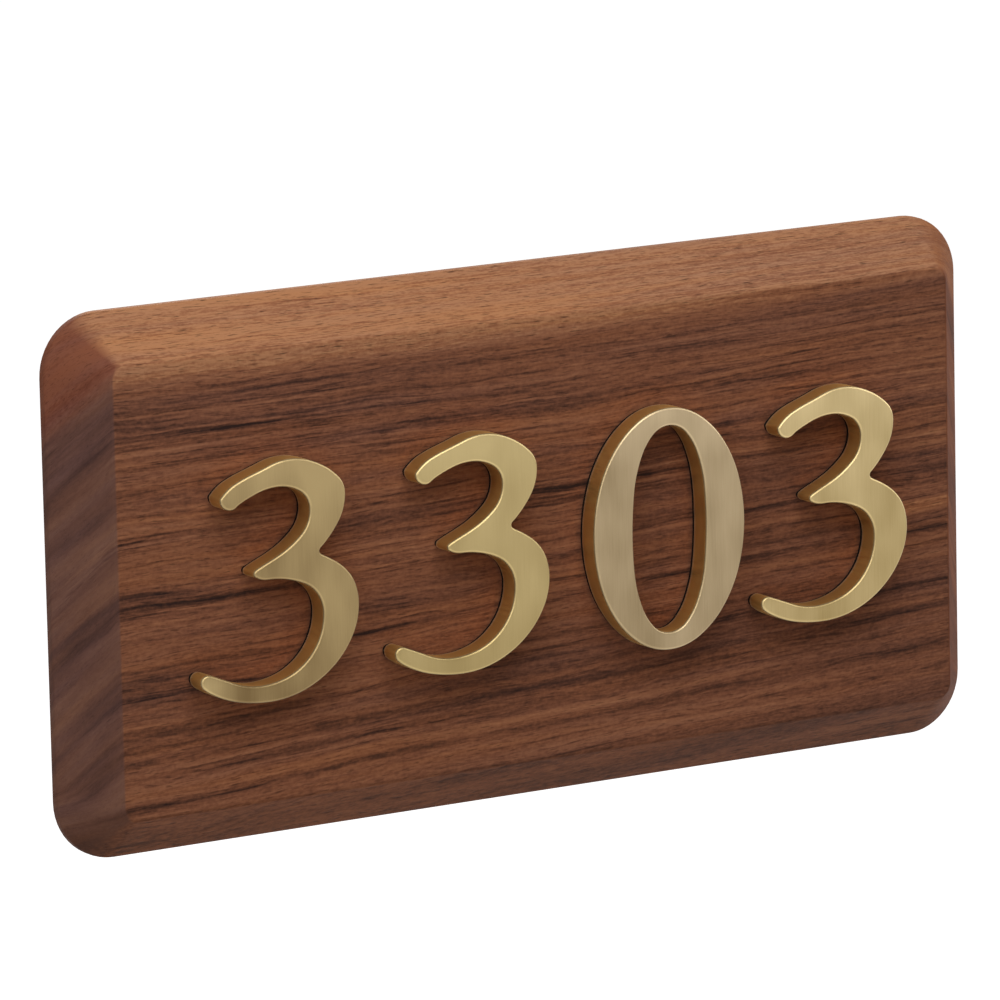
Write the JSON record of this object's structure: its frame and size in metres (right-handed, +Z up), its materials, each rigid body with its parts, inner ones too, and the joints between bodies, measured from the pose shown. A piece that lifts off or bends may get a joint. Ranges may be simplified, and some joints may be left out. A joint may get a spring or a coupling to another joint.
{
  "type": "house number plaque",
  "caption": "Oblong walnut wall plaque with a bevelled front and raised brass house numerals, hung on screws by keyhole slots in its back.",
  "frame": {"origin": "middle of the board's flat back face, where it lies on the wall", "axes": "+X along the board to the right of someone who reads it, +Y into the wall, +Z up"},
  "size_m": [0.2, 0.0175, 0.102],
  "materials": {
    "walnut": "satin oil",
    "brass": "satin, brushed up and down",
    "pad": "matt"
  },
  "bodies": {
    "root": {"board": "walnut", "first_numeral": "brass", "second_numeral": "brass", "third_numeral": "brass", "fourth_numeral": "brass", "first_pad": "pad", "second_pad": "pad", "third_pad": "pad", "fourth_pad": "pad", "numeral_pins": "brass"}
  },
  "joints": []
}
